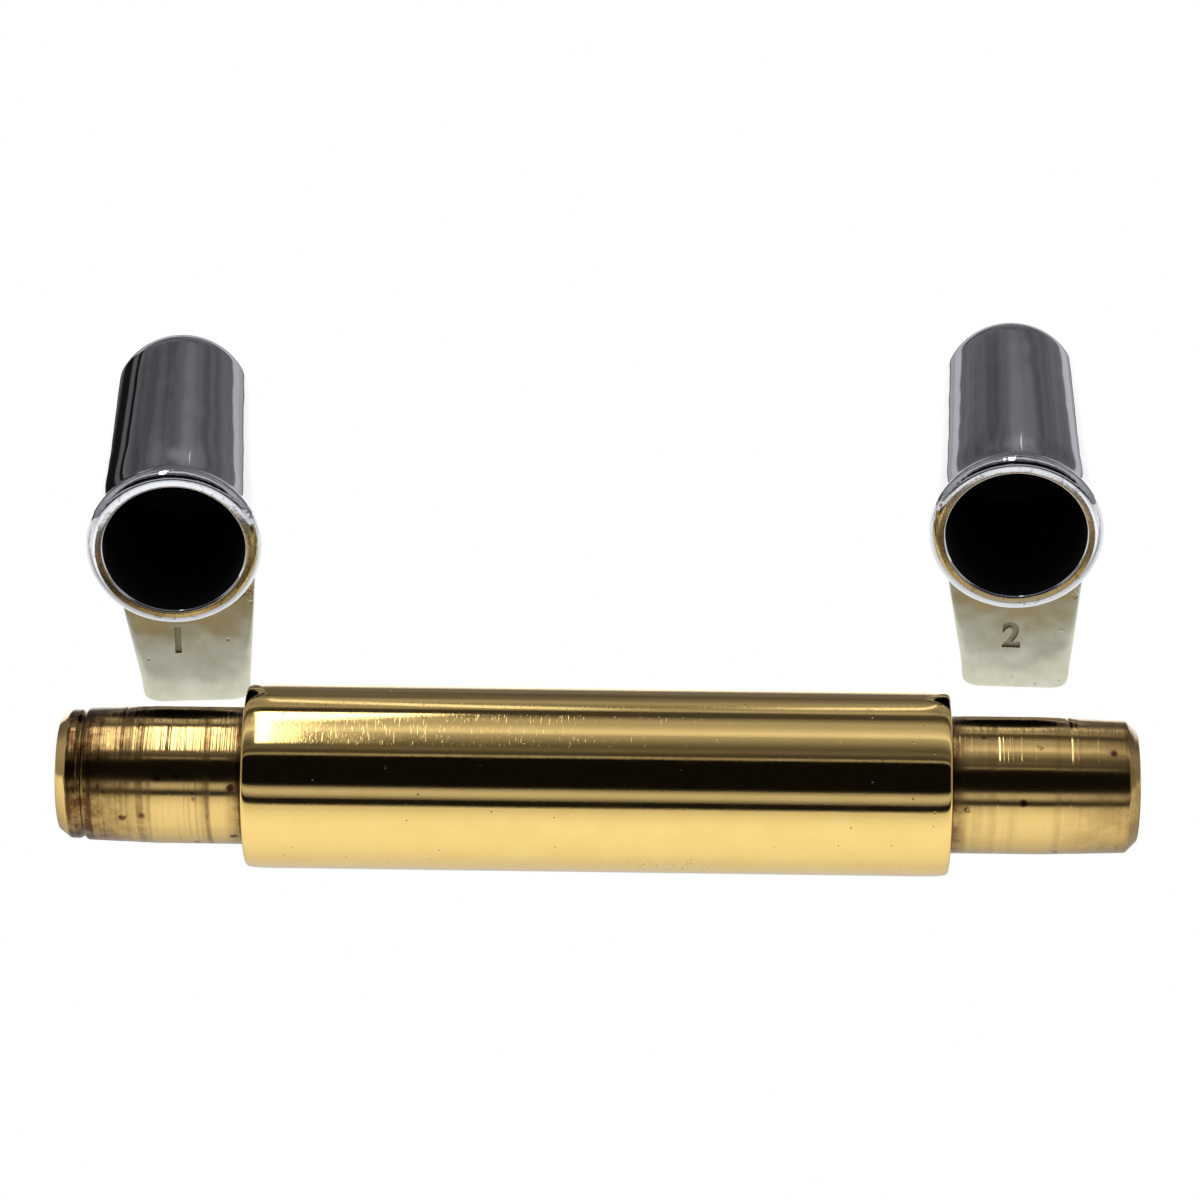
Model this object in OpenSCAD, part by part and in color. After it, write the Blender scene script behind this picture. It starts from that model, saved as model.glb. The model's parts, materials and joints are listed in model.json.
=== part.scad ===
// Bar pull handle, taken apart: a turned bar and the two sockets that carry its ends.
// The bar lies along X in front. The two posts stand behind it on their feet, mouths forward.

/* [Bar] */
// Diameter of the polished grip
grip_d = 25.4; // [22:0.1:32]
// Length of the polished grip between its two shoulders
grip_len = 96.5; // [60:0.5:300]
// Bevel at each end of the grip
grip_edge = 0.3; // [0.1:0.05:0.6]
// Diameter of the spigots where they are straight
spigot_d = 18.9; // [15:0.1:23]
// Length of each spigot, shoulder to tip
spigot_len = 25.8; // [21:0.1:36]
// Straight stretch of each spigot next to the grip
spigot_straight = 12.7; // [8:0.1:15]
// How much thinner a spigot is at its tip than at its straight stretch
spigot_taper = 0.7; // [0.2:0.1:1.5]
// Length of the bevel at the tip of the left spigot
left_bevel_len = 1.4; // [0.8:0.1:1.6]
// Depth of the bevel at the tip of the left spigot
left_bevel_depth = 1.0; // [0.5:0.1:1.5]
// Length and depth of the bevel at the tip of the right spigot
right_bevel = 1.5; // [0.8:0.1:2]
// Depth of the worn groove behind the left tip
groove_depth = 0.5; // [0.2:0.05:0.8]
// Width of the worn groove behind the left tip
groove_w = 2.2; // [1.4:0.1:3]

/* [Sockets] */
// Clearance all round between a spigot and its socket
socket_clearance = 0.5; // [0.1:0.05:0.6]
// Room left past the tip of a spigot pushed home
socket_end_room = 2; // [0.5:0.1:5]
// Bevel at the mouth of each socket
mouth_bevel = 0.3; // [0.1:0.05:0.5]

/* [Tubes] */
// Length of each tube, mouth to domed end
tube_len = 53.5; // [44:0.5:90]
// Metal round the socket at the lip
lip_wall = 2.45; // [2:0.05:4]
// Length of the lip
lip_len = 1.9; // [1.6:0.1:4]
// Radius of the rounded front edge of the lip
lip_edge_r = 1.0; // [0.5:0.1:1.2]
// Length over which the lip runs down to the tube
lip_run_len = 2.2; // [1:0.1:4]
// Metal round the socket just behind the lip
tube_wall = 1.85; // [1.6:0.05:3]
// How much smaller in radius the tube is at its domed end than behind the lip
tube_narrowing = 1.3; // [0.2:0.1:1.6]

/* [Stems] */
// Height of the sockets above the foot
axis_height = 33; // [26:0.5:60]
// Distance from the mouth plane back to the front of the foot
foot_set_back = 11.2; // [6:0.1:16]
// Width of the foot
foot_w = 14.5; // [10:0.1:18]
// Depth of the foot, front to back
foot_depth = 31; // [20:0.5:40]
// Radius of the foot's corners
foot_corner_r = 2; // [1:0.1:3]
// How far the stem's front and back slope inwards going up
stem_slope = 4.2; // [0.5:0.1:5]
// How far the foot stands to one side of the tube's axis
foot_shift = 1.7; // [0:0.1:3]

/* [Fixing] */
// Core diameter of the tapped hole in each foot
fixing_core_d = 5; // [3:0.1:6.8]
// Depth of the tapped hole in each foot
fixing_depth = 13; // [8:0.5:18]

/* [Layout] */
// Middle of the left mouth from the middle of the bar, along the bar
left_mouth_x = -60.4; // [-120:0.1:-40]
// Left mouth plane behind the bar's axis
left_mouth_y = 26.6; // [20:0.1:60]
// Turn of the left post away from square to the bar, in degrees
left_turn = 4.1; // [-10:0.1:10]
// Middle of the right mouth from the middle of the bar, along the bar
right_mouth_x = 58.6; // [40:0.1:120]
// Right mouth plane behind the bar's axis
right_mouth_y = 33.3; // [20:0.1:60]
// Turn of the right post away from square to the bar, in degrees
right_turn = -2; // [-10:0.1:10]

/* [Hidden] */

grip_r = grip_d / 2;
spigot_r = spigot_d / 2;
spigot_tip_r = (spigot_d - spigot_taper) / 2;
bar_len = grip_len + 2 * spigot_len;
socket_r = spigot_r + socket_clearance;
socket_depth = spigot_len + socket_end_room;
lip_r = socket_r + lip_wall;
tube_r = socket_r + tube_wall;
dome_r = tube_r - tube_narrowing;
dome_start = tube_len - dome_r;
run_end = lip_len + lip_run_len;

// The stem reaches up into the tube and stops this far inside its surface
stem_sink = 0.15;
// Stretch of tube that the stem's sides run up to
stem_top_front = foot_set_back + stem_slope;
stem_top_back = min(foot_set_back + foot_depth - stem_slope, dome_start);
// Thickness of the foot before its sides start to spread
foot_plate = 1;
// How far cutters pass a face that they open
over = 1;

// Outermost points of the set-out pieces, for an origin at the bottom middle of the whole
left_dome_x = left_mouth_x - dome_start * sin(left_turn);
right_dome_x = right_mouth_x - dome_start * sin(right_turn);
x_low = min(-bar_len / 2, left_dome_x - dome_r, left_mouth_x - lip_r);
x_high = max(bar_len / 2, right_dome_x + dome_r, right_mouth_x + lip_r);
y_low = -grip_r;
y_high = dome_r + max(left_mouth_y + dome_start * cos(left_turn),
                      right_mouth_y + dome_start * cos(right_turn));
origin_shift = [-(x_low + x_high) / 2, -(y_low + y_high) / 2, 0];

// Points along an arc in the plane of a turned outline
function arc(cx, cy, r, from, to, steps) =
    [for (i = [0 : steps]) let (a = from + (to - from) * i / steps) [cx + r * cos(a), cy + r * sin(a)]];

// Radius of the tube at a distance back from its mouth, behind the lip
function tube_r_at(back) = tube_r + (dome_r - tube_r) * (back - run_end) / (dome_start - run_end);

// Half outline of the tube: radius across, distance back from the mouth up
tube_outline = concat(
    [[0, 0], [lip_r - lip_edge_r, 0]],
    arc(lip_r - lip_edge_r, lip_edge_r, lip_edge_r, -75, 0, 5),
    [for (i = [0 : 8]) let (t = i / 8)
        [tube_r + (lip_r - tube_r) * (1 + cos(180 * t)) / 2, lip_len + lip_run_len * t]],
    arc(0, dome_start, dome_r, 0, 90, 24)
);

// Half outline of the bar: radius across, distance from the left tip up
right_tip = bar_len;
left_shoulder = spigot_len;
right_shoulder = bar_len - spigot_len;
bar_outline = concat(
    [[0, 0], [spigot_tip_r - groove_depth / 2 - left_bevel_depth, 0],
     [spigot_tip_r - groove_depth / 2, left_bevel_len]],
    [for (i = [0 : 8]) let (t = i / 8)
        [spigot_tip_r - groove_depth * (t < 0.5 ? 0.75 - 0.25 * cos(360 * t) : 0.5 - 0.5 * cos(360 * t)),
         left_bevel_len + 0.3 + groove_w * t]],
    [[spigot_r, left_shoulder - spigot_straight], [spigot_r, left_shoulder],
     [grip_r - grip_edge, left_shoulder], [grip_r, left_shoulder + grip_edge],
     [grip_r, right_shoulder - grip_edge], [grip_r - grip_edge, right_shoulder],
     [spigot_r, right_shoulder], [spigot_r, right_shoulder + spigot_straight],
     [spigot_tip_r, right_tip - right_bevel], [spigot_tip_r - right_bevel, right_tip],
     [0, right_tip]]
);

// The closed tube with its lip and domed end, axis along +Y from the mouth
module tube_solid() {
    rotate([-90, 0, 0])
        rotate_extrude($fn = 96)
            polygon(tube_outline);
}

// The stem: a rounded foot plate whose sides spread upwards until they meet the tube
module stem_solid() {
    hull() {
        for (side = [-1, 1], back = [foot_set_back + foot_corner_r,
                                     foot_set_back + foot_depth - foot_corner_r])
            translate([foot_shift + side * (foot_w / 2 - foot_corner_r), back, -axis_height])
                cylinder(h = foot_plate, r = foot_corner_r, $fn = 32);
        translate([0, stem_top_front, 0])
            rotate([-90, 0, 0])
                cylinder(h = stem_top_back - stem_top_front,
                         r1 = tube_r_at(stem_top_front) - stem_sink,
                         r2 = tube_r_at(stem_top_back) - stem_sink, $fn = 32);
    }
}

// The blind socket that takes a spigot, open at the mouth plane
module socket_cut() {
    rotate([-90, 0, 0]) {
        translate([0, 0, -over])
            cylinder(h = socket_depth + over, r = socket_r, $fn = 96);
        translate([0, 0, -over])
            cylinder(h = mouth_bevel + over, r1 = socket_r + mouth_bevel + over, r2 = socket_r, $fn = 96);
    }
}

// The tapped hole up into the middle of the foot
module fixing_cut() {
    translate([foot_shift, foot_set_back + foot_depth / 2, -axis_height - over])
        cylinder(h = fixing_depth + over, d = fixing_core_d, $fn = 48);
}

// One post in its own place: mouth plane at y = 0, socket axis at z = 0
module post() {
    difference() {
        union() {
            tube_solid();
            stem_solid();
        }
        socket_cut();
        fixing_cut();
    }
}

// Left post, standing on its foot behind the bar's left end
module post_left() {
    color("gainsboro")
        translate(origin_shift + [left_mouth_x, left_mouth_y, axis_height])
            rotate([0, 0, left_turn])
                post();
}

// Right post, standing on its foot behind the bar's right end
module post_right() {
    color("gainsboro")
        translate(origin_shift + [right_mouth_x, right_mouth_y, axis_height])
            rotate([0, 0, right_turn])
                post();
}

// The turned bar, lying along X
module grip_bar() {
    color("goldenrod")
        translate(origin_shift + [-bar_len / 2, 0, grip_r])
            rotate([0, 90, 0])
                rotate_extrude($fn = 96)
                    polygon(bar_outline);
}

post_left();
post_right();
grip_bar();
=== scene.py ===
"""Looks of a bar pull handle set out in three pieces: a turned brass bar and two chromed posts.

Everything is in metres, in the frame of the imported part: +X along the bar, +Y back, +Z up.
"""

import json
import math

import bpy
from mathutils import Matrix, Vector


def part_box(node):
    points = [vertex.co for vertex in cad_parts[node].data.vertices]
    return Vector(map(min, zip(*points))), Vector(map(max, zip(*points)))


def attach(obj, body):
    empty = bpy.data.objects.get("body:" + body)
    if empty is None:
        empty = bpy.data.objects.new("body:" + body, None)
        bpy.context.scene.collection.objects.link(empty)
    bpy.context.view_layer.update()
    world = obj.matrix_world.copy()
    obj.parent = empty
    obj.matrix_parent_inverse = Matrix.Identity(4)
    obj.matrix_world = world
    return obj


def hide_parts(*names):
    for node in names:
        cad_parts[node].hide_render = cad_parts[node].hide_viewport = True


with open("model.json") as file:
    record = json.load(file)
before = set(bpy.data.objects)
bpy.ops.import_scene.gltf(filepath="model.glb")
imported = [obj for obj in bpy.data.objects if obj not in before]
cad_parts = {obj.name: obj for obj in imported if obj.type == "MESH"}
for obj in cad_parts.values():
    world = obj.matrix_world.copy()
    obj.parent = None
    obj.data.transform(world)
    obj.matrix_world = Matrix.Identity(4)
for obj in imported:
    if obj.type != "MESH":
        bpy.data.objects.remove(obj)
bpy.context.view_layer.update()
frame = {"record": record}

MM = 0.001
MOUNTS = {mount["name"]: mount for mount in frame["record"]["mounts"]}
scene = bpy.context.scene


# ---------------------------------------------------------------- modelling helpers

def edit(obj):
    """Puts one piece alone in edit mode."""
    if bpy.context.object and bpy.context.object.mode != "OBJECT":
        bpy.ops.object.mode_set(mode="OBJECT")
    bpy.ops.object.select_all(action="DESELECT")
    bpy.context.view_layer.objects.active = obj
    obj.select_set(True)
    bpy.ops.object.mode_set(mode="EDIT")


def pick(obj, kind, rule):
    """Selects the vertices or faces (VERT or FACE) of the piece in edit mode that a rule says yes to."""
    bpy.ops.mesh.select_mode(type=kind)
    bpy.ops.mesh.select_all(action="DESELECT")
    bpy.ops.object.mode_set(mode="OBJECT")
    for item in (obj.data.vertices if kind == "VERT" else obj.data.polygons):
        if rule(item):
            item.select = True
    bpy.ops.object.mode_set(mode="EDIT")


def turned(name, outline, sides):
    """Turns a solid round the Y axis: a ring is drawn at the first point and pulled along the outline.

    The outline is a list of (distance along the axis, radius) in mm; both ends are closed on the axis.
    """
    along, radius = outline[0]
    bpy.ops.object.select_all(action="DESELECT")
    bpy.ops.mesh.primitive_circle_add(
        vertices=sides, radius=radius * MM, location=(0, along * MM, 0), rotation=(math.pi / 2, 0, 0)
    )
    obj = bpy.context.object
    obj.name = obj.data.name = name
    bpy.ops.object.transform_apply(location=True, rotation=True, scale=True)
    edit(obj)
    bpy.ops.mesh.select_mode(type="EDGE")
    bpy.ops.mesh.select_all(action="SELECT")
    bpy.ops.mesh.extrude_region_move()
    bpy.ops.mesh.merge(type="CENTER")
    pick(obj, "VERT", lambda v: math.hypot(v.co.x, v.co.z) > radius * MM / 2)
    bpy.ops.mesh.select_mode(type="EDGE")
    for following, wider in outline[1:]:
        step = (0, (following - along) * MM, 0)
        bpy.ops.mesh.extrude_region_move(TRANSFORM_OT_translate={"value": step})
        share = wider / radius
        bpy.ops.transform.resize(value=(share, 1, share), center_override=(0, following * MM, 0))
        along, radius = following, wider
    bpy.ops.mesh.extrude_region_move()
    bpy.ops.mesh.merge(type="CENTER")
    bpy.ops.object.mode_set(mode="OBJECT")
    return obj


def finished(obj, body, node, smooth_deg=35):
    """Closes a piece: doubles merged, faces outwards, smooth shading, and its place in the assembly."""
    edit(obj)
    bpy.ops.mesh.select_all(action="SELECT")
    bpy.ops.mesh.remove_doubles(threshold=0.002 * MM)
    bpy.ops.mesh.normals_make_consistent(inside=False)
    bpy.ops.object.mode_set(mode="OBJECT")
    bpy.ops.object.shade_smooth_by_angle(angle=math.radians(smooth_deg))
    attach(obj, body)
    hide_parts(node)
    return obj


def arc(along, radius, bend, start_deg, end_deg, steps):
    """Points of an arc round (along, radius) in the plane of an outline; 0 degrees points off the axis."""
    angles = [math.radians(start_deg + (end_deg - start_deg) * i / steps) for i in range(steps + 1)]
    return [(along + bend * math.sin(a), radius + bend * math.cos(a)) for a in angles]


# ---------------------------------------------------------------- material helpers

def paint(code, strength=1.0):
    """Linear RGBA of an sRGB hex value."""
    parts = [int(code[i:i + 2], 16) / 255 for i in (1, 3, 5)]
    linear = [c / 12.92 if c <= 0.04045 else ((c + 0.055) / 1.055) ** 2.4 for c in parts]
    return (*[c * strength for c in linear], 1)


def add(tree, kind, links=(), stops=None, **settings):
    """Adds a node: its settings, its colour stops, and what goes into each of its sockets.

    A socket takes a value, an output, or the first live output of a node.
    """
    node = tree.nodes.new("ShaderNode" + kind)
    for key, value in settings.items():
        setattr(node, key, value)
    if stops:
        ramp = node.color_ramp
        while len(ramp.elements) < len(stops):
            ramp.elements.new(1)
        for element, (place, light) in zip(ramp.elements, stops):
            element.position = place
            element.color = (light, light, light, 1)
    for socket, source in (links.items() if isinstance(links, dict) else enumerate(links)):
        if isinstance(source, bpy.types.Node):
            source = next(output for output in source.outputs if output.enabled)
        if isinstance(source, bpy.types.NodeSocket):
            tree.links.new(source, node.inputs[socket])
        else:
            node.inputs[socket].default_value = source
    return node


def new_material(name):
    """An empty material and its node tree."""
    material = bpy.data.materials.new(name)
    material.use_nodes = True
    material.node_tree.nodes.clear()
    return material, material.node_tree


# ---------------------------------------------------------------- the bar

bar_low, bar_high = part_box("grip_bar")
bar_middle = (bar_low + bar_high) / 2
BAR_LEN = (bar_high.x - bar_low.x) / MM
BAR_SIDES = 128
GRIP_R = 12.7
SPIGOT_R = 9.45
TIP_R = 9.1
# Length of a spigot, and of its straight part next to the shoulder; from there it narrows to the tip
SPIGOT = 25.8
STRAIGHT = 12.7
# The ends of the grip, rolled over by polishing: distance in from the shoulder, depth under the radius
GRIP_ROLL = [
    (0, 0.6), (0.03, 0.46), (0.1, 0.35), (0.25, 0.25), (0.5, 0.17), (0.9, 0.11), (1.4, 0.065), (1.9, 0.035),
    (2.4, 0.015), (3.0, 0.005), (3.6, 0), (4.2, 0), (4.6, 0),
]
# The turned corner of a spigot against its shoulder: distance from the shoulder, depth under the radius
CORNER = [(0, 0.06), (0.1, 0.02), (0.4, 0)]
# The left tip, distance from its end and radius: the bevel, a land, then the worn groove
LEFT_BEVEL = [
    (0, 7.6), (0.04, 7.72), (0.12, 7.8), (1.3, 8.7), (1.4, 8.78), (1.52, 8.84), (1.7, 8.88), (1.9, 8.89),
]
LEFT_GROOVE = [
    (2.6, 8.9), (2.8, 8.88), (2.95, 8.8), (3.1, 8.67), (3.25, 8.6), (3.4, 8.6), (3.55, 8.7), (3.7, 8.9),
    (3.85, 9.03), (4.0, 9.09), (4.2, TIP_R + 0.01), (5, TIP_R + 0.04),
]
# The left spigot widens from here on
GROOVE_END = 4
# The right tip's chamfer: distance from its end, depth under the tip's radius
RIGHT_CHAMFER = [(2.2, -0.02), (1.7, -0.01), (1.55, 0.03), (1.45, 0.1), (0.15, 1.36), (0.03, 1.5), (0, 1.6)]
# How much the right spigot narrows, and how far from its end it stops narrowing
RIGHT_NARROWING = 0.34
RIGHT_END = 1.6
# Depth of the fine lines scored round the spigots
SCORE = 0.04


def scored(at, radius):
    """Outline of one fine line scored round a spigot."""
    return [
        (at - 0.3, radius), (at - 0.12, radius - 0.01), (at, radius - SCORE),
        (at + 0.12, radius - 0.01), (at + 0.3, radius),
    ]


def left_spigot():
    """Outline of the left tip and spigot, which widens from behind the groove to where it runs straight."""
    full = SPIGOT - STRAIGHT
    outline = LEFT_BEVEL + LEFT_GROOVE
    for at in (9.2, 12.0):
        outline += scored(at, TIP_R + (SPIGOT_R - TIP_R) * (at - GROOVE_END) / (full - GROOVE_END))
    outline += [(full, SPIGOT_R)] + scored(15.7, SPIGOT_R)
    return outline + [(SPIGOT - off, SPIGOT_R - depth) for off, depth in reversed(CORNER)]


def right_spigot(shoulder):
    """Outline of the right spigot, straight from its shoulder and then narrowing to a chamfered tip."""
    outline = [(shoulder + off, SPIGOT_R - depth) for off, depth in CORNER]
    outline += scored(shoulder + 6.4, SPIGOT_R)
    for at in (13.2, 16.3):
        # Known fault: the second time round, this point folds the skin back over itself for 0.8 mm
        outline += [(shoulder + STRAIGHT, SPIGOT_R)]
        narrowed = RIGHT_NARROWING * (at - STRAIGHT) / (SPIGOT - STRAIGHT - RIGHT_END)
        outline += scored(shoulder + at, SPIGOT_R - narrowed)
    return outline + [(BAR_LEN - off, TIP_R - depth) for off, depth in RIGHT_CHAMFER]


def make_bar():
    """The bar, turned in one: left spigot, grip, right spigot."""
    right_shoulder = BAR_LEN - SPIGOT
    outline = left_spigot()
    outline += [(SPIGOT + off, GRIP_R - depth) for off, depth in GRIP_ROLL]
    outline += [(right_shoulder - off, GRIP_R - depth) for off, depth in reversed(GRIP_ROLL)]
    outline += right_spigot(right_shoulder)
    obj = turned("bar_turned_brass", outline, BAR_SIDES)
    turn = Matrix.Rotation(-math.pi / 2, 4, "Z")
    obj.data.transform(Matrix.Translation((bar_low.x, bar_middle.y, bar_middle.z)) @ turn)
    return obj


# ---------------------------------------------------------------- the posts

SOCKET_R = 9.95
SOCKET_DEPTH = 27.8
MOUTH_BEVEL = 0.3
# The lip: its radius, the rounding of its outer edge, and how far back it runs before the flare
LIP_R = 12.4
LIP_EDGE = 1.3
LIP_LEN = 1.4
# The flare from the lip down to the tube
FLARE_LEN = 2.4
FLARE_STEPS = 7
# The tube is polished a little thinner just behind the lip: how much, where most, and over what length
DIP = 0.18
DIP_AT = 4.0
DIP_LEN = 4
TUBE_START = 4.1
TUBE_R = 11.8
DOME_R = 10.5
DOME_START = 43.0
AXIS_HEIGHT = 33.0
FOOT_BACK = 11.2
FOOT_W = 14.5
FOOT_DEPTH = 31.0
FOOT_SHIFT = 1.7
FOOT_CORNER = 2.0
FOOT_MIDDLE = FOOT_BACK + FOOT_DEPTH / 2
STEM_FRONT = 15.4
STEM_BACK = 38.0
STEM_MIDDLE = (STEM_FRONT + STEM_BACK) / 2
STEM_ROWS = [STEM_FRONT, 16.2, 18.0, 20.6, 23.6, 26.7, 29.8, 32.8, 35.4, 37.2, STEM_BACK]
# The stem leaves the tube this many degrees under its middle, outside this radius
STEM_TOP_DEG = 5
STEM_TOP_R = 10.3
# How far down the stem each ring of its skin lies, as a share of its length
STEM_LEVELS = [0.035, 0.1, 0.3, 0.55, 0.78, 0.88]
# The stem's sides swell this much half way down; the outer part of each ring moves by all of it
SIDE_SWELL = 0.3
FLANK = 1.3
# The foot's front stands this much wider to each side than its back
FRONT_SWELL = 0.5
# The rounded edge of the foot: how far in from its sides, how far up from its face
FOOT_EDGE = [(0.05, 1.5), (0.4, 0.65), (1.05, 0.12), (1.8, 0.0), (3.8, 0.0)]
# The edge goes in less at the foot's front and back, by this share
FOOT_EDGE_LONG = 0.4
# The tapped hole: core and root radius, and number of turns at a pitch of 1 mm
THREAD_CORE = 2.5
THREAD_ROOT = 2.9
THREAD_TURNS = 12
HOLE_DEPTH = 13.0
HOLE_SIDES = 40
# The stamped figures: size of the type, fattening of its strokes, half its thickness, and how deep it sinks
FIGURE_SIZE = 5.2
FIGURE_FATTEN = 0.22
FIGURE_HALF = 0.8
MARK_DEPTH = 0.4
SIDES = 32
# A smooth surface drawn from a ring of this many points falls this much inside them
RING_GAIN = 3 / (2 + math.cos(2 * math.pi / SIDES))
# The finishes of a post, in the order of its material slots
CHROME, BORE, MOUTH, RIM, FIGURE = range(5)


def tube_r(back):
    """Radius of the tube behind the lip."""
    return TUBE_R + (DOME_R - TUBE_R) * (back - TUBE_START) / (DOME_START - TUBE_START)


def behind_lip(back):
    """Radius of the tube just behind the lip, where it is a little thinner."""
    return tube_r(back) - DIP * math.exp(-((back - DIP_AT) / DIP_LEN) ** 2)


def foot_point(x_share, y_share):
    """A point on the rounded foot outline, from where it lies on the square (-1 to 1 each way)."""
    half_x, half_y, r = FOOT_W / 2, FOOT_DEPTH / 2, FOOT_CORNER
    x, y = x_share * half_x, y_share * half_y
    core_x = max(-half_x + r, min(half_x - r, x))
    core_y = max(-half_y + r, min(half_y - r, y))
    off = Vector((x - core_x, y - core_y))
    if abs(x_share) > 0.999 and abs(off.y) > 0 or abs(y_share) > 0.999 and abs(off.x) > 0:
        off = off.normalized() * r
    return core_x + off.x + FOOT_SHIFT, core_y + off.y + FOOT_BACK + half_y


def mouth_of(mount):
    """Middle of the mouth plane of a socket."""
    reach = (mount["dims"]["length_mm"] / 2 + MOUTH_BEVEL) * MM
    return Vector(mount["pos_m"]) + Vector(mount["axis"]) * reach


def draw_stem(obj):
    """Pulls the stem out of the tube's underside: faces there go, and their rim is led down to the foot."""
    edit(obj)
    low = -math.sin(math.radians(STEM_TOP_DEG)) * TUBE_R * MM

    def underside(face):
        centre = face.center
        outer = math.hypot(centre.x, centre.z) > STEM_TOP_R * MM
        return outer and STEM_FRONT * MM < centre.y < STEM_BACK * MM and centre.z < low

    pick(obj, "FACE", underside)
    bpy.ops.mesh.delete(type="FACE")
    bpy.ops.mesh.select_mode(type="EDGE")
    bpy.ops.mesh.select_all(action="DESELECT")
    bpy.ops.mesh.select_non_manifold(extend=False)
    bpy.ops.object.mode_set(mode="OBJECT")
    rim = [v.index for v in obj.data.vertices if v.select]
    start = [obj.data.vertices[i].co.copy() for i in rim]
    half = max(abs(p.x) for p in start)
    half_long = (STEM_BACK - STEM_FRONT) / 2
    ends = []
    for p in start:
        x_share = 2 / math.pi * math.asin(max(-1, min(1, p.x / half)))
        place = foot_point(x_share, (p.y / MM - STEM_MIDDLE) / half_long)
        ends.append(Vector((*place, -AXIS_HEIGHT)) * MM)
    bpy.ops.object.mode_set(mode="EDIT")
    here = {i: k for k, i in enumerate(rim)}
    for share in STEM_LEVELS:
        bpy.ops.mesh.extrude_region_move()
        bpy.ops.object.mode_set(mode="OBJECT")
        known = {tuple(obj.data.vertices[i].co): k for i, k in here.items()}
        fresh = [v.index for v in obj.data.vertices if v.select]
        here = {i: known[tuple(obj.data.vertices[i].co)] for i in fresh}
        for i, k in here.items():
            point = start[k].lerp(ends[k], share)
            sideways = max(-1, min(1, FLANK * start[k].x / half))
            forward = max(0, min(1, (STEM_MIDDLE - start[k].y / MM) / half_long))
            point.x += SIDE_SWELL * MM * math.sin(math.pi * share) * sideways
            point.x += FRONT_SWELL * MM * share * sideways * forward
            obj.data.vertices[i].co = point
        bpy.ops.object.mode_set(mode="EDIT")
    # The edge of the foot is rounded off, then the face is closed
    centre = (FOOT_SHIFT * MM, FOOT_MIDDLE * MM, -AXIS_HEIGHT * MM)
    for inset, rise in FOOT_EDGE:
        bpy.ops.mesh.extrude_region_move()
        shrink = (1 - 2 * inset / FOOT_W, 1 - 2 * FOOT_EDGE_LONG * inset / FOOT_DEPTH, 1)
        bpy.ops.transform.resize(value=shrink, center_override=centre)
        bpy.ops.object.mode_set(mode="OBJECT")
        for v in obj.data.vertices:
            if v.select:
                v.co.z = (rise - AXIS_HEIGHT) * MM
        bpy.ops.object.mode_set(mode="EDIT")
    bpy.ops.mesh.edge_face_add()
    bpy.ops.object.mode_set(mode="OBJECT")


def cut(obj, cutter):
    """Takes the shape of one mesh out of another and clears the cutter away."""
    knife = obj.modifiers.new("cut", "BOOLEAN")
    knife.operation = "DIFFERENCE"
    knife.solver = "EXACT"
    knife.object = cutter
    bpy.ops.object.select_all(action="DESELECT")
    bpy.context.view_layer.objects.active = obj
    bpy.ops.object.modifier_apply(modifier=knife.name)
    bpy.data.objects.remove(cutter)


def thread_cutter():
    """The tapped hole: a core with grooves a pitch apart, running up from the foot."""
    outline = [(-1, THREAD_ROOT), (0.0, THREAD_ROOT)]
    for turn in range(THREAD_TURNS):
        outline += [(turn + 0.45, THREAD_CORE), (turn + 0.55, THREAD_CORE)]
        outline += [(turn + 0.95, THREAD_ROOT), (turn + 1.05, THREAD_ROOT)]
    outline += [(HOLE_DEPTH - 0.4, THREAD_CORE), (HOLE_DEPTH, THREAD_CORE)]
    cutter = turned("thread_cutter", outline, HOLE_SIDES)
    upright = Matrix.Rotation(math.pi / 2, 4, "X")
    foot_middle = Vector((FOOT_SHIFT, FOOT_MIDDLE, -AXIS_HEIGHT)) * MM
    cutter.data.transform(Matrix.Translation(foot_middle) @ upright)
    return cutter


def mark_cutter(figure, side, height):
    """A plain figure to be sunk in the front of the stem."""
    bpy.ops.object.select_all(action="DESELECT")
    bpy.ops.object.text_add()
    text = bpy.context.object
    text.data.body = figure
    text.data.size = FIGURE_SIZE * MM
    text.data.align_x = "CENTER"
    text.data.align_y = "CENTER"
    text.data.extrude = FIGURE_HALF * MM
    text.data.offset = FIGURE_FATTEN * MM
    bpy.ops.object.convert(target="MESH")
    obj = bpy.context.object
    edit(obj)
    bpy.ops.mesh.select_all(action="SELECT")
    bpy.ops.mesh.remove_doubles(threshold=0.001 * MM)
    bpy.ops.mesh.normals_make_consistent(inside=False)
    bpy.ops.object.mode_set(mode="OBJECT")
    lean = math.atan2(STEM_FRONT - FOOT_BACK, AXIS_HEIGHT - TUBE_R)
    tilt = Matrix.Rotation(math.pi / 2 - lean, 4, "X")
    front = FOOT_BACK + height * math.tan(lean)
    sink = Matrix.Translation(Vector((side, front + MARK_DEPTH - FIGURE_HALF, height - AXIS_HEIGHT)) * MM)
    obj.data.transform(sink @ tilt)
    for face in obj.data.polygons:
        face.material_index = FIGURE
    return obj


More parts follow.
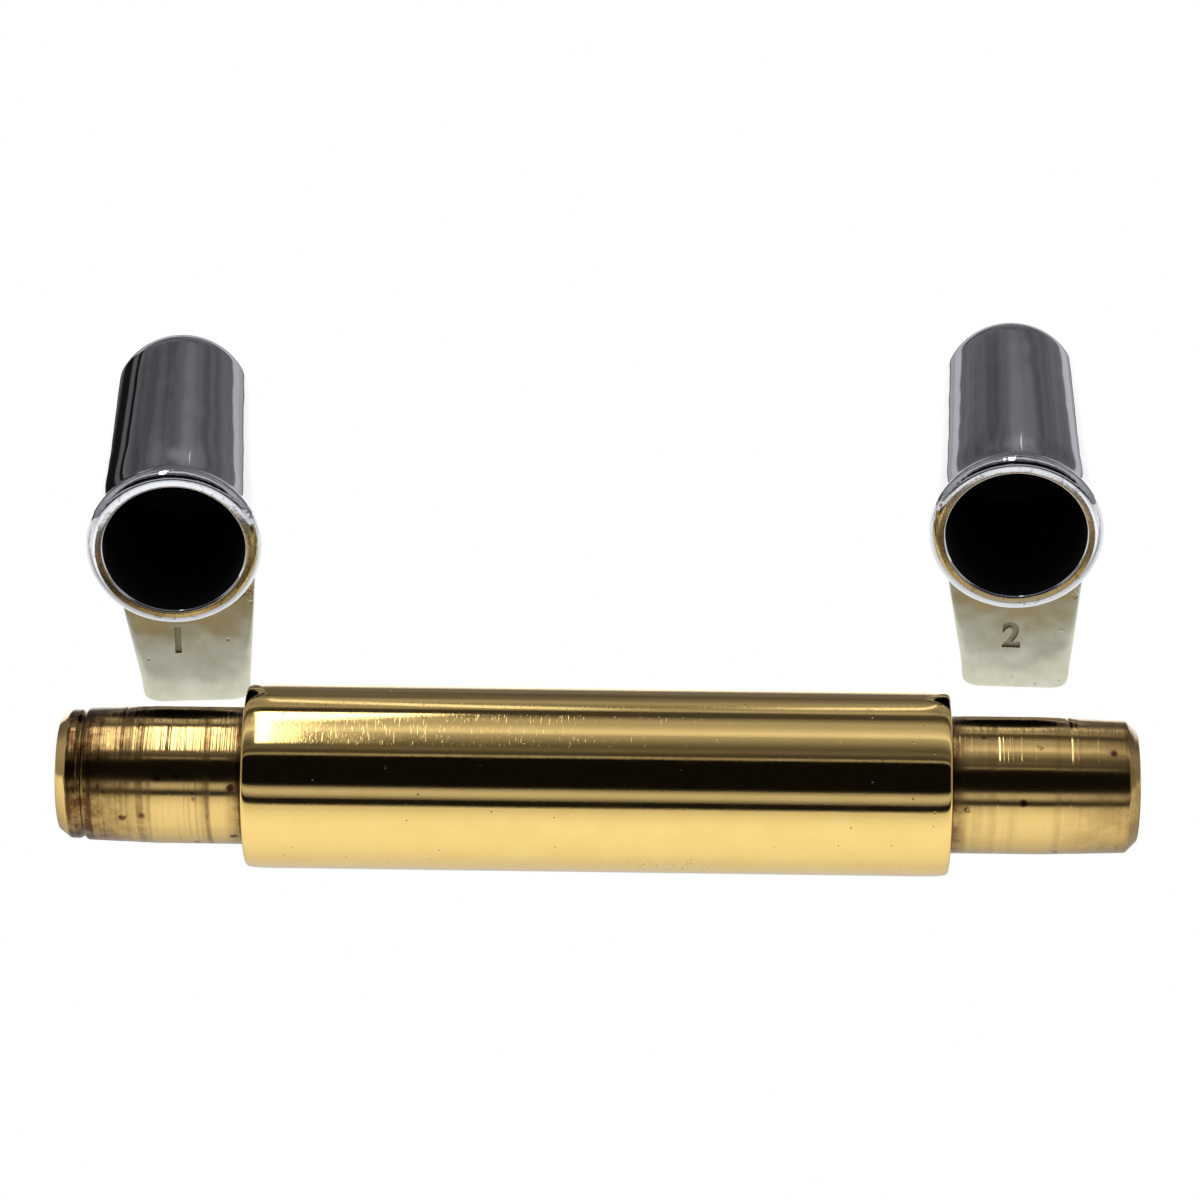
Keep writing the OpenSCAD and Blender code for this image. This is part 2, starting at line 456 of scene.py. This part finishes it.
def post_outline():
    """Outline of a post's tube: up the socket from its blind end, round the lip, and back to the dome."""
    outline = [(SOCKET_DEPTH, 3.0), (SOCKET_DEPTH, 9.3), (SOCKET_DEPTH, SOCKET_R)]
    outline += [(back, SOCKET_R) for back in (SOCKET_DEPTH - 0.6, 18, 8, 1.2, MOUTH_BEVEL + 0.04)]
    outline += [(MOUTH_BEVEL - 0.06, SOCKET_R + 0.06), (0.05, SOCKET_R + 0.25), (0, SOCKET_R + 0.34)]
    outline += [(0, 10.7), (0, 11.1)]
    outline += arc(LIP_EDGE, LIP_R - LIP_EDGE, LIP_EDGE, -90, 0, 6)
    outline += [(1.25, LIP_R)]
    thin = TUBE_R - DIP
    for i in range(FLARE_STEPS + 1):
        share = i / FLARE_STEPS
        height = (1 + math.cos(math.pi * share)) / 2
        outline += [(LIP_LEN + FLARE_LEN * share, thin + (LIP_R - TUBE_R + DIP) * height)]
    outline += [(back, behind_lip(back)) for back in (4.6, 5.6, 7, 9, 11.5, 14.6)]
    outline += [(back, tube_r(back)) for back in [*STEM_ROWS, 40.6]]
    outline += arc(DOME_START, 0, DOME_R, 0, 84, 14)
    return outline + arc(DOME_START, 0, DOME_R, 87, 89, 1)


def finish_of(centre):
    """Which finish a face of a post has, from where its middle lies."""
    off = math.hypot(centre.x, centre.z) / MM
    back = centre.y / MM
    from_hole = math.hypot(centre.x / MM - FOOT_SHIFT, back - FOOT_MIDDLE)
    if off < SOCKET_R + 0.02 and MOUTH_BEVEL < back < SOCKET_DEPTH + 0.2:
        return BORE
    if back < 0.08 and SOCKET_R + 0.3 < off < LIP_R - LIP_EDGE + 0.35:
        return MOUTH
    if from_hole < THREAD_ROOT - 0.02 and (0.3 - AXIS_HEIGHT) * MM < centre.z < -SOCKET_R * MM:
        return BORE
    if back < 1.25 and off > LIP_R - 0.75:
        return RIM
    return CHROME


def make_post(name, mount, figure, side, height):
    """One post, mouth plane at y = 0 and socket axis at z = 0 while it is made, then set in its place."""
    obj = turned(name, [(along, radius * RING_GAIN) for along, radius in post_outline()], SIDES)
    draw_stem(obj)
    smooth = obj.modifiers.new("smooth", "SUBSURF")
    smooth.levels = smooth.render_levels = 2
    bpy.ops.object.modifier_apply(modifier=smooth.name)
    for finish in (chrome, bore_black, filed_face, filed_edge, figure_dull_and_shade):
        obj.data.materials.append(finish)
    cut(obj, thread_cutter())
    cut(obj, mark_cutter(figure, side, height))
    for face in obj.data.polygons:
        if face.material_index != FIGURE:
            face.material_index = finish_of(face.center)
    turn = Matrix.Rotation(math.atan2(mount["axis"][0], -mount["axis"][1]), 4, "Z")
    obj.data.transform(Matrix.Translation(mouth_of(mount)) @ turn)
    return obj


# ---------------------------------------------------------------- finishes

def spots(tree, place, per_mm, size, share):
    """Small round spots: cells to a mm, size of a spot in its cell, and the share of cells that have one."""
    cells = add(tree, "TexVoronoi", {"Vector": place, "Scale": per_mm / MM})
    chosen = add(tree, "SeparateColor", (cells.outputs["Color"],))
    picked = add(tree, "Math", (chosen, share), operation="LESS_THAN")
    spot = add(tree, "MapRange", (cells, size * 0.4, size, 1.0, 0.0), interpolation_type="SMOOTHSTEP")
    return add(tree, "Math", (spot, picked), operation="MULTIPLY")


def make_polished_brass():
    """Polished brass: a deep yellow mirror with polishing haze, hairlines and a few casting pits."""
    material, tree = new_material("polished_brass")
    place = add(tree, "TexCoord").outputs["Object"]
    haze = add(tree, "TexNoise", {"Vector": place, "Scale": 0.2 / MM, "Detail": 3})
    tone = add(tree, "Mix", {0: haze, 6: paint("#E4C67E"), 7: paint("#D9B96E")}, data_type="RGBA")
    # Pits here and there, and a crowd of them low on the front, right of the middle
    crowd_at = (0.012, bar_middle.y - 0.0105, bar_middle.z - 0.0068)
    spread = add(tree, "VectorMath", (place, crowd_at), operation="SUBTRACT")
    spread = add(tree, "VectorMath", (spread, (0.22, 1, 1)), operation="MULTIPLY")
    reach = add(tree, "VectorMath", (spread,), operation="LENGTH")
    nearby = add(tree, "MapRange", (reach, 0.001, 0.0035, 1.0, 0.0))
    crowd = add(tree, "Math", (spots(tree, place, 1.7, 0.32, 0.4), nearby), operation="MULTIPLY")
    pits = add(tree, "Math", (spots(tree, place, 0.7, 0.12, 0.2), crowd), operation="MAXIMUM")
    dark = add(tree, "Math", (pits, 0.7), operation="MULTIPLY")
    colour = add(tree, "Mix", {0: dark, 6: tone, 7: paint("#5A4628")}, data_type="RGBA")
    rough = add(tree, "MapRange", (haze, 0.3, 0.75, 0.04, 0.085))
    # Long waves, fine dimples and cross hairlines left by the mop
    along = add(tree, "VectorMath", (place, (0.5, 2.2, 2.2)), operation="MULTIPLY")
    across = add(tree, "VectorMath", (place, (4.5, 0.35, 0.5)), operation="MULTIPLY")
    wave = add(tree, "TexNoise", {"Vector": along, "Scale": 0.16 / MM, "Detail": 1})
    dimples = add(tree, "TexNoise", {"Vector": place, "Scale": 2.6 / MM, "Detail": 1})
    hair = add(tree, "TexNoise", {"Vector": across, "Scale": 1.3 / MM, "Detail": 2})
    hair = add(tree, "MapRange", (hair, 0.62, 0.72))
    normal = add(tree, "Bump", {"Height": wave, "Distance": 0.005 * MM})
    normal = add(tree, "Bump", {"Height": dimples, "Distance": 0.0018 * MM, "Normal": normal})
    normal = add(tree, "Bump", {"Height": hair, "Distance": 0.0012 * MM, "Normal": normal})
    normal = add(tree, "Bump", {"Height": pits, "Distance": 0.02 * MM, "Normal": normal}, invert=True)
    links = {"Base Color": colour, "Metallic": 1.0, "Roughness": rough, "Normal": normal}
    add(tree, "OutputMaterial", (add(tree, "BsdfPrincipled", links),))
    return material


def make_turned_brass():
    """Brass as it came off the lathe: bright tool rings round the axis under brown oxide and stains."""
    material, tree = new_material("turned_brass")
    place = add(tree, "TexCoord").outputs["Object"]
    x = add(tree, "SeparateXYZ", (place,))
    # Rings left by the tool, drawn coarser than usual feed marks so that they show
    ringed = add(tree, "VectorMath", (place, (1, 0.02, 0.02)), operation="MULTIPLY")
    fine = add(tree, "TexNoise", {"Vector": ringed, "Scale": 2.2 / MM, "Detail": 2, "Roughness": 0.6})
    broad = add(tree, "TexNoise", {"Vector": ringed, "Scale": 0.42 / MM, "Detail": 2, "Roughness": 0.6})
    patches = add(tree, "TexNoise", {"Vector": place, "Scale": 0.4 / MM, "Detail": 4, "Roughness": 0.65})
    # Oxide is thickest on the left tip, and gathers against the shoulders and at the right tip
    left_tip = add(tree, "MapRange", (x, -0.071, -0.0585, 0.95, 0.05), interpolation_type="SMOOTHSTEP")
    # The bevel of the left tip is bare
    bevel = add(tree, "MapRange", (x, -0.0727, -0.0724))
    left_tip = add(tree, "Math", (left_tip, bevel), operation="MULTIPLY")
    right_tip = add(tree, "MapRange", (x, 0.058, 0.072, 0.0, 0.45), interpolation_type="SMOOTHSTEP")
    distance = add(tree, "Math", (x,), operation="ABSOLUTE")
    corner = (BAR_LEN / 2 - SPIGOT) * MM
    shoulder = add(tree, "MapRange", (distance, corner, 0.0515, 0.75, 0.0), interpolation_type="SMOOTHSTEP")
    oxide = add(tree, "Math", (left_tip, right_tip), operation="MAXIMUM")
    oxide = add(tree, "Math", (oxide, shoulder), operation="MAXIMUM")
    bands = add(tree, "MapRange", (broad, 0.5, 0.64, 0.0, 0.75))
    lines = add(tree, "MapRange", (fine, 0.54, 0.74, 0.0, 0.3))
    leftward = add(tree, "MapRange", (x, -0.05, 0.05, 1.0, 0.25))
    bands = add(tree, "Math", (bands, leftward), operation="MULTIPLY")
    lines = add(tree, "Math", (lines, leftward), operation="MULTIPLY")
    oxide = add(tree, "Math", (oxide, bands), operation="ADD")
    worn = add(tree, "MapRange", (patches, 0.35, 0.62, 0.6, 1.1))
    oxide = add(tree, "Math", (oxide, worn), operation="MULTIPLY")
    oxide = add(tree, "Math", (oxide, lines), operation="ADD", use_clamp=True)
    colour = add(tree, "Mix", {0: oxide, 6: paint("#D8B873"), 7: paint("#573A22")}, data_type="RGBA")
    # A few dark stains with ragged edges
    ragged = add(tree, "MapRange", (patches, 0.42, 0.5))
    stains = add(tree, "Math", (spots(tree, place, 0.4, 0.32, 0.2), ragged), operation="MULTIPLY")
    colour = add(tree, "Mix", {0: stains, 6: colour, 7: paint("#4A2E1C")}, data_type="RGBA")
    rough = add(tree, "MapRange", (oxide, 0.0, 1.0, 0.11, 0.24))
    normal = add(tree, "Bump", {"Height": fine, "Distance": 0.035 * MM})
    normal = add(tree, "Bump", {"Height": broad, "Distance": 0.06 * MM, "Normal": normal})
    normal = add(tree, "Bump", {"Height": patches, "Distance": 0.006 * MM, "Normal": normal})
    links = {"Base Color": colour, "Metallic": 1.0, "Roughness": rough, "Normal": normal}
    add(tree, "OutputMaterial", (add(tree, "BsdfPrincipled", links),))
    return material


def make_chrome():
    """Chrome plate: a mirror on the tube, cloudy on the stem over a cast face that was never polished."""
    material, tree = new_material("bright_chrome_plate")
    place = add(tree, "TexCoord").outputs["Object"]
    z = add(tree, "SeparateXYZ", (place,)).outputs["Z"]
    cloud = add(tree, "TexNoise", {"Vector": place, "Scale": 0.3 / MM, "Detail": 4, "Roughness": 0.6})
    # The polish fades out over the top of the stem, unevenly
    height = add(tree, "Math", (cloud, 0.012, z), operation="MULTIPLY_ADD")
    stem = add(tree, "MapRange", (height, 0.0215, 0.0265, 1.0, 0.0), interpolation_type="SMOOTHSTEP")
    dull = add(tree, "Mix", {0: cloud, 6: paint("#A7A68F"), 7: paint("#D0CFBF")}, data_type="RGBA")
    pits = add(tree, "Math", (spots(tree, place, 0.6, 0.2, 0.18), stem), operation="MULTIPLY")
    dark = add(tree, "Math", (pits, 0.4), operation="MULTIPLY")
    dull = add(tree, "Mix", {0: dark, 6: dull, 7: paint("#77756A")}, data_type="RGBA")
    colour = add(tree, "Mix", {0: stem, 6: paint("#C6C7CA"), 7: dull}, data_type="RGBA")
    rough = add(tree, "MapRange", (stem, 0.0, 1.0, 0.04, 0.2))
    metal = add(tree, "MapRange", (stem, 0.0, 1.0, 1.0, 0.8))
    # Long waves in the tube, nicks here and there, soft lumps in the stem
    waves = add(tree, "TexNoise", {"Vector": place, "Scale": 0.09 / MM, "Detail": 1})
    lumps = add(tree, "TexNoise", {"Vector": place, "Scale": 0.2 / MM, "Detail": 1})
    lumps = add(tree, "Math", (lumps, stem), operation="MULTIPLY")
    nicks = spots(tree, place, 0.12, 0.05, 0.5)
    normal = add(tree, "Bump", {"Height": waves, "Distance": 0.12 * MM})
    normal = add(tree, "Bump", {"Height": nicks, "Distance": 0.03 * MM, "Normal": normal})
    normal = add(tree, "Bump", {"Height": lumps, "Distance": 0.2 * MM, "Normal": normal})
    normal = add(tree, "Bump", {"Height": pits, "Distance": 0.04 * MM, "Normal": normal}, invert=True)
    links = {"Base Color": colour, "Metallic": metal, "Roughness": rough, "Normal": normal}
    add(tree, "OutputMaterial", (add(tree, "BsdfPrincipled", links),))
    return material


def make_filed_face():
    """The mouth face, filed flat and plated: bright and a little blurred, with a few darker marks."""
    material, tree = new_material("filed_mouth_face")
    place = add(tree, "TexCoord").outputs["Object"]
    marks = add(tree, "TexNoise", {"Vector": place, "Scale": 0.9 / MM, "Detail": 4, "Roughness": 0.6})
    worn = add(tree, "MapRange", (marks, 0.56, 0.7))
    colour = add(tree, "Mix", {0: worn, 6: paint("#DDDFE4"), 7: paint("#A3A19B")}, data_type="RGBA")
    normal = add(tree, "Bump", {"Height": marks, "Distance": 0.015 * MM})
    links = {"Base Color": colour, "Metallic": 1.0, "Roughness": 0.14, "Normal": normal}
    add(tree, "OutputMaterial", (add(tree, "BsdfPrincipled", links),))
    return material


def make_filed_edge():
    """The rim round the mouth, rounded with a file and plated: a mirror broken up by file flats."""
    material, tree = new_material("chromed_file_flats")
    place = add(tree, "TexCoord").outputs["Object"]
    flats = add(tree, "TexNoise", {"Vector": place, "Scale": 0.35 / MM, "Detail": 2, "Roughness": 0.6})
    normal = add(tree, "Bump", {"Height": flats, "Distance": 0.18 * MM})
    links = {"Base Color": paint("#C6C7CA"), "Metallic": 1.0, "Roughness": 0.06, "Normal": normal}
    add(tree, "OutputMaterial", (add(tree, "BsdfPrincipled", links),))
    return material


def make_figure_dull_and_shade():
    """The floor and walls of the stamped figures: duller plate, with a darker brownish colour that is painted
    shade in the recess.
    """
    material, tree = new_material("dull_stamped_plate_painted_shade")
    # Painted shade: the colour is darker than the chrome so that the sunk figures read as shaded
    links = {"Base Color": paint("#A29E88"), "Metallic": 0.6, "Roughness": 0.5}
    add(tree, "OutputMaterial", (add(tree, "BsdfPrincipled", links),))
    return material


def make_bore_black():
    """The inside of the sockets and tapped holes: near black and rough, with a faint mottle."""
    material, tree = new_material("dark_bore_black")
    place = add(tree, "TexCoord").outputs["Object"]
    mottle = add(tree, "TexNoise", {"Vector": place, "Scale": 1.2 / MM, "Detail": 3})
    colour = add(tree, "Mix", {0: mottle, 6: paint("#040404"), 7: paint("#0B0A09")}, data_type="RGBA")
    normal = add(tree, "Bump", {"Height": mottle, "Distance": 0.05 * MM})
    links = {"Base Color": colour, "Roughness": 0.75, "Normal": normal}
    add(tree, "OutputMaterial", (add(tree, "BsdfPrincipled", links),))
    return material


polished_brass = make_polished_brass()
turned_brass = make_turned_brass()
chrome = make_chrome()
bore_black = make_bore_black()
filed_face = make_filed_face()
filed_edge = make_filed_edge()
figure_dull_and_shade = make_figure_dull_and_shade()


# ---------------------------------------------------------------- the pieces

bar = make_bar()
bar.data.materials.append(polished_brass)
bar.data.materials.append(turned_brass)
# Only the grip is polished: the shoulders and all beyond them are as turned
TURNED = 1
POLISHED_HALF = BAR_LEN / 2 - SPIGOT - 0.02
for face in bar.data.polygons:
    if abs(face.center.x - bar_middle.x) > POLISHED_HALF * MM:
        face.material_index = TURNED
# The last two values are how far a figure stands to the side of the socket's axis, and its height
post_left = make_post("post_left_chromed", MOUNTS["socket_left"], "1", -0.9, 10.0)
post_right = make_post("post_right_chromed", MOUNTS["socket_right"], "2", 0.65, 8.7)
finished(bar, "bar", "grip_bar")
finished(post_left, "posts", "post_left")
finished(post_right, "posts", "post_right")


# ---------------------------------------------------------------- floor, light and camera

# Brightness of the table and of the studio in the metal, against plain white
KEY = 1.3
# The table lies this much under the feet, because in one plane with them it shows through in patches
TABLE_DROP = 0.03
FLOOR_DROP = 0.5


def make_sheet(name, low, high, z):
    """A flat white sheet from one corner to the other, part of the stage."""
    bpy.ops.object.select_all(action="DESELECT")
    size = (high[0] - low[0], high[1] - low[1], 1)
    centre = ((low[0] + high[0]) / 2, (low[1] + high[1]) / 2, z)
    bpy.ops.mesh.primitive_plane_add(size=1, location=centre)
    sheet = bpy.context.object
    sheet.name = name
    sheet.scale = size
    bpy.ops.object.transform_apply(location=True, rotation=True, scale=True)
    return sheet


def make_floor():
    """The plain white floor, and the smaller white table that only shows in the metal."""
    floor = make_sheet("floor", (-6, -6), (6, 6), -FLOOR_DROP * MM)
    floor.visible_glossy = False
    floor.visible_diffuse = False
    material, tree = new_material("floor_white")
    glow = add(tree, "Emission", {"Color": (1, 1, 1, 1), "Strength": 1.0})
    add(tree, "OutputMaterial", (glow,))
    floor.data.materials.append(material)

    table = make_sheet("table", (-1.2, -1.5), (1.2, 0.27), -TABLE_DROP * MM)
    table.visible_camera = False
    material, tree = new_material("table_white")
    place = add(tree, "TexCoord").outputs["Object"]
    split = add(tree, "SeparateXYZ", (place,))
    # How far in front of the line under the bar, in mm, squeezed to between 0 and 1, finest near the bar
    squeeze = 60.0
    ahead = add(tree, "Math", (bar_middle.y, split.outputs["Y"]), operation="SUBTRACT")
    ahead = add(tree, "Math", (ahead, 1 / MM), operation="MULTIPLY")
    either_way = add(tree, "Math", (ahead,), operation="ABSOLUTE")
    spread = add(tree, "Math", (either_way, squeeze), operation="ADD")
    near = add(tree, "Math", (ahead, spread), operation="DIVIDE")
    share = add(tree, "Math", (near, 0.5, 0.5), operation="MULTIPLY_ADD")
    # The shade under the bar, and the light falling off towards the front edge: distance, brightness
    shade = [
        (-40, 1.0), (-22, 0.85), (-10, 0.55), (0, 0.35), (5, 0.5), (8.4, 0.68), (10.6, 0.75), (14.5, 0.91),
        (20, 0.98), (32, 1.0), (46, 0.97), (80, 0.84), (130, 0.72), (215, 0.66), (300, 0.45), (389, 0.2),
        (900, 0.05),
    ]
    stops = [((d / (abs(d) + squeeze) + 1) / 2, light) for d, light in shade]
    white = add(tree, "ValToRGB", (share,), stops=stops)
    # Its far edge is a thin dark line with a paler shelf behind it
    slant = add(tree, "Math", (split, 0.2, 0.168), operation="MULTIPLY_ADD")
    beyond = add(tree, "Math", (split.outputs["Y"], slant), operation="SUBTRACT")
    far = [(0.0, 1.0), (0.3, 1.0), (0.34, 0.1), (0.44, 0.1), (0.5, 0.36), (1.0, 0.36)]
    share = add(tree, "MapRange", (beyond, -0.03, 0.06))
    edge = add(tree, "ValToRGB", (share,), stops=far)
    # On the far left the shelf is nearly dark
    past = add(tree, "Math", (beyond, 0.0), operation="GREATER_THAN")
    left = add(tree, "MapRange", (split, -0.15, -0.11, 0.9, 0.0))
    hidden = add(tree, "Math", (past, left), operation="MULTIPLY")
    shown = add(tree, "Math", (1.0, hidden), operation="SUBTRACT")
    strength = add(tree, "Math", (white, edge), operation="MULTIPLY")
    strength = add(tree, "Math", (strength, shown), operation="MULTIPLY")
    strength = add(tree, "Math", (strength, KEY), operation="MULTIPLY")
    glow = add(tree, "Emission", {"Color": (1, 1, 1, 1), "Strength": strength})
    add(tree, "OutputMaterial", (glow,))
    table.data.materials.append(material)


def make_card():
    """A black card left of the left post, seen only as the dark bands along its tube."""
    post_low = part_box("post_left")[0]
    mouth = mouth_of(MOUNTS["socket_left"])
    card = make_sheet("dark_card", (-0.008, -0.032), (0.008, 0.032), 0)
    card.visible_camera = False
    card.visible_diffuse = False
    stand = Matrix.Translation((post_low.x - 0.02, mouth.y + 0.062, mouth.z + 0.005))
    card.data.transform(stand @ Matrix.Rotation(math.pi / 2, 4, "Y"))
    material, tree = new_material("dark_card_felt")
    place = add(tree, "TexCoord").outputs["Object"]
    height = add(tree, "SeparateXYZ", (place,)).outputs["Z"]
    share = add(tree, "MapRange", (height, mouth.z - 0.003, mouth.z + 0.013))
    # Black with one grey stripe
    stripe = [(0.0, 0.01), (0.5, 0.01), (0.6, 0.13), (0.78, 0.13), (0.85, 0.01)]
    felt = add(tree, "ValToRGB", (share,), stops=stripe)
    glow = add(tree, "Emission", {"Color": (1, 1, 1, 1), "Strength": felt})
    add(tree, "OutputMaterial", (glow,))
    card.data.materials.append(material)


def make_studio():
    """Soft boxes, dark gaps and a lamp on the left, by the angle from the front over the top to the back."""
    world = bpy.data.worlds.new("soft_studio")
    scene.world = world
    world.use_nodes = True
    tree = world.node_tree
    tree.nodes.clear()
    way = add(tree, "TexCoord").outputs["Generated"]
    x, y, z = add(tree, "SeparateXYZ", (way,)).outputs
    up = add(tree, "Math", (z, 0.0), operation="MAXIMUM")
    front = add(tree, "Math", (y, -1.0), operation="MULTIPLY")
    turn = add(tree, "Math", (up, front), operation="ARCTAN2")
    angle = add(tree, "Math", (turn, 180 / math.pi), operation="MULTIPLY")
    # Degrees up from the front horizon, brightness
    bands = [
        (0, 0.01), (5, 0.01), (8.6, 0.3), (11.6, 0.54), (16, 0.58), (19.6, 0.3), (21.6, 0.04), (24, 0.005),
        (59, 0.005), (60.6, 0.3), (62, 0.33), (63.4, 0.05), (66.6, 0.07), (69.6, 0.14), (75, 0.1), (79, 0.15),
        (85, 0.3), (90, 0.43), (92.5, 0.72), (95.6, 0.84), (100, 0.64), (105, 0.46), (112, 0.4), (117.6, 0.2),
        (121, 0.07), (127.6, 0.05), (130.5, 0.33), (143, 0.33), (149, 0.25), (153, 0.14), (160, 0.11),
        (180, 0.13),
    ]
    share = add(tree, "Math", (angle, 180.0), operation="DIVIDE")
    base = add(tree, "ValToRGB", (share,), stops=[(a / 180, light) for a, light in bands])
    # The room behind is uneven, with a pale shelf under the horizon
    uneven = add(tree, "TexNoise", {"Vector": way, "Scale": 5.0, "Detail": 3})
    uneven = add(tree, "MapRange", (uneven, 0.3, 0.7, 0.6, 1.5))
    behind = add(tree, "MapRange", (y, 0.3, 0.6), interpolation_type="SMOOTHSTEP")
    uneven = add(tree, "Mix", {0: behind, 2: 1.0, 3: uneven}, data_type="FLOAT")
    base = add(tree, "Math", (base, uneven), operation="MULTIPLY")
    shelf = add(tree, "MapRange", (z, -0.06, -0.02, 0.36, 0.0), interpolation_type="SMOOTHSTEP")
    shelf = add(tree, "Math", (shelf, behind), operation="MULTIPLY")
    reached = add(tree, "MapRange", (x, -0.5, -0.46))
    shelf = add(tree, "Math", (shelf, reached), operation="MULTIPLY")
    base = add(tree, "Math", (base, shelf), operation="ADD")
    # A bright line that climbs to both sides
    side = add(tree, "Math", (x,), operation="ABSOLUTE")
    square = add(tree, "Math", (x, x), operation="MULTIPLY")
    crest = add(tree, "Math", (square, 1230.0, 132.6), operation="MULTIPLY_ADD")
    step = add(tree, "MapRange", (x, -0.012, 0.004, 0.0, 5.6), interpolation_type="SMOOTHSTEP")
    crest = add(tree, "Math", (crest, step), operation="ADD")
    off = add(tree, "Math", (angle, crest), operation="SUBTRACT")
    off = add(tree, "Math", (off,), operation="ABSOLUTE")
    line = add(tree, "MapRange", (off, 1.2, 4.6, 1.0, 0.0), interpolation_type="SMOOTHSTEP")
    rise = add(tree, "MapRange", (side, 0.0, 0.045, 0.3, 1.25), interpolation_type="SMOOTHSTEP")
    fall = add(tree, "MapRange", (side, 0.095, 0.11, 1.0, 0.0), interpolation_type="SMOOTHSTEP")
    line = add(tree, "Math", (line, rise), operation="MULTIPLY")
    line = add(tree, "Math", (line, fall), operation="MULTIPLY")
    # The lamp on the left: its right edge leans, and it is cut off above, below and on its outer side
    edge = add(tree, "Math", (angle, 0.0022, -0.3206), operation="MULTIPLY_ADD")
    edge = add(tree, "Math", (edge, -0.0912), operation="MAXIMUM")
    inside = add(tree, "Math", (edge, x), operation="SUBTRACT")
    lamp = add(tree, "MapRange", (inside, -0.005, 0.004, 0.0, 4.0), interpolation_type="SMOOTHSTEP")
    top = add(tree, "MapRange", (angle, 119.5, 122.0, 1.0, 0.0), interpolation_type="SMOOTHSTEP")
    bottom = add(tree, "MapRange", (angle, 73.0, 78.0), interpolation_type="SMOOTHSTEP")
    lamp = add(tree, "Math", (lamp, top), operation="MULTIPLY")
    outer = add(tree, "MapRange", (x, -0.2, -0.16))
    lamp = add(tree, "Math", (lamp, outer), operation="MULTIPLY")
    lamp = add(tree, "Math", (lamp, bottom), operation="MULTIPLY")
    lit = add(tree, "Math", (base, line), operation="MAXIMUM")
    lit = add(tree, "Math", (lit, lamp), operation="MAXIMUM")
    # To the far left and right the bands melt into one soft light
    sky = add(tree, "Math", (z, 0.5, 0.25), operation="MULTIPLY_ADD")
    far = add(tree, "MapRange", (side, 0.7, 0.9), interpolation_type="SMOOTHSTEP")
    soft = add(tree, "Mix", {0: far, 2: lit, 3: sky}, data_type="FLOAT")
    strength = add(tree, "Math", (soft, KEY), operation="MULTIPLY")
    glow = add(tree, "Background", {"Color": (0.97, 0.96, 1.04, 1), "Strength": strength})
    plain_white = add(tree, "Background", {"Color": (1, 1, 1, 1), "Strength": 1.0})
    seen = add(tree, "LightPath").outputs["Is Camera Ray"]
    add(tree, "OutputWorld", (add(tree, "MixShader", (seen, glow, plain_white)),))


make_floor()
make_card()
make_studio()
scene.view_settings.view_transform = "Standard"

# The camera looks down on the bar from in front, turned a little to the left
HEADING = math.radians(1.335)
PITCH = math.radians(30.954)
DISTANCE = 0.6223
aim = bar_middle + Vector((0, 14.1, 20.5)) * MM
look = Vector((-math.sin(HEADING) * math.cos(PITCH), math.cos(HEADING) * math.cos(PITCH), -math.sin(PITCH)))
camera_data = bpy.data.cameras.new("camera")
camera_data.sensor_width = 36
camera_data.lens = 135
camera_data.clip_start = 0.01
camera_data.clip_end = 50
camera = bpy.data.objects.new("camera", camera_data)
scene.collection.objects.link(camera)
camera.location = aim - look * DISTANCE
camera.rotation_euler = look.to_track_quat("-Z", "Y").to_euler()
scene.camera = camera
